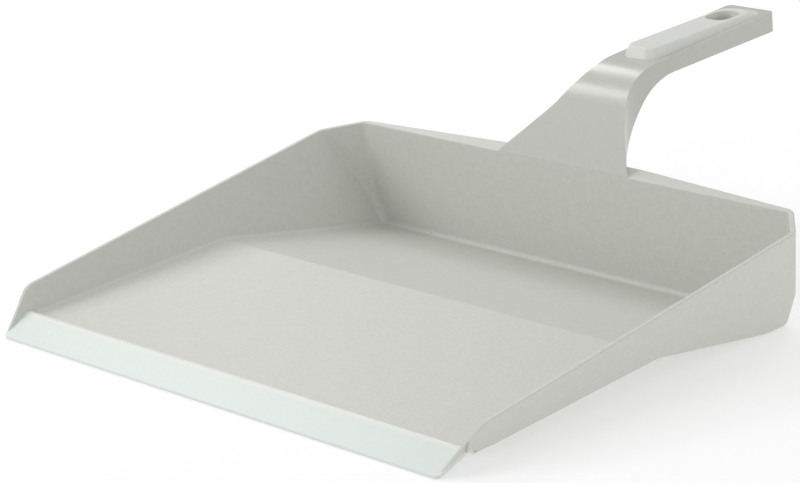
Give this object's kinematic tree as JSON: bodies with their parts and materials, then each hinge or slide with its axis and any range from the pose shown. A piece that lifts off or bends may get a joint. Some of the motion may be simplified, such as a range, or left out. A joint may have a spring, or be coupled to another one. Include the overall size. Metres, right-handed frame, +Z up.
{
  "type": "dust pan",
  "caption": "One-handed dust pan with a ramped lip, flared side walls, a raised arched handle and a hanging slot.",
  "frame": {"origin": "on the ground, half way across and half way along the pan, under the centre of its box", "axes": "+X across the pan, +Y from the sweeping lip back to the tip of the grip, +Z up"},
  "size_m": [0.3294, 0.37, 0.1075],
  "materials": {
    "tray_plastic": "fine satin",
    "lip_plastic": "semi-gloss",
    "handle_plastic": "semi-gloss",
    "insert_plastic": "satin"
  },
  "bodies": {
    "root": {"pan_tray": "tray_plastic", "lip_strip": "lip_plastic", "handle_frame": "handle_plastic", "grip_insert": "insert_plastic"}
  },
  "joints": []
}
